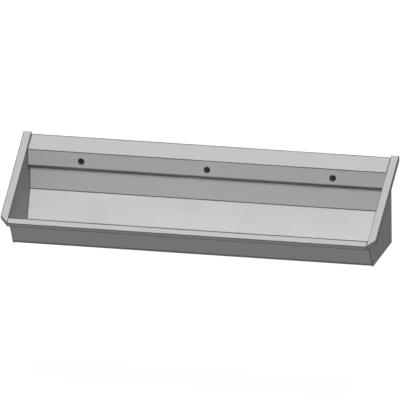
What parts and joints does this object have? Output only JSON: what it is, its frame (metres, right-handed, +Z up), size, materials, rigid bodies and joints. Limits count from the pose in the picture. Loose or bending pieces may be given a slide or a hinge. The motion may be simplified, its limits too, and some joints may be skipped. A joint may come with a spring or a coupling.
{
  "type": "trough sink",
  "caption": "Wall-hung wash trough of folded stainless sheet with sloping hood, tap holes, leaning front, end flanges, waste and wall brackets",
  "frame": {"origin": "On the wall plane, in the middle of the trough's length, on the screw line of the wall rail, 405 mm above the bottom edge of the end panels", "axes": "X runs along the trough, +X to the right as seen from the front. +Y points into the wall, so the front faces -Y. +Z is up."},
  "size_m": [2.092, 0.6, 0.526],
  "materials": {
    "stainless_sheet": "satin",
    "stainless_fittings": "bright",
    "zinc_plated": "satin",
    "black_rubber": "matt",
    "brass": "satin"
  },
  "bodies": {
    "root": {"bowl": "stainless_sheet", "hood": "stainless_sheet", "left_end_panel": "stainless_sheet", "right_end_panel": "stainless_sheet", "tap_plate_left": "stainless_fittings", "tap_plate_centre": "stainless_fittings", "tap_plate_right": "stainless_fittings", "hanger_rail": "stainless_fittings", "wall_rail": "zinc_plated", "left_bracket": "zinc_plated", "right_bracket": "zinc_plated", "trough_studs": "stainless_fittings", "stud_washers": "stainless_fittings", "stud_nuts": "stainless_fittings", "front_stiffener": "stainless_sheet", "left_sound_pad": "black_rubber", "right_sound_pad": "black_rubber", "waste_body": "stainless_fittings", "waste_gasket": "black_rubber", "waste_washer": "black_rubber", "waste_nut": "brass", "strainer_grid": "stainless_fittings", "strainer_screw": "stainless_fittings", "earth_tag": "stainless_fittings", "earth_screw": "brass", "earth_washer": "brass", "earth_nut": "brass"}
  },
  "joints": []
}
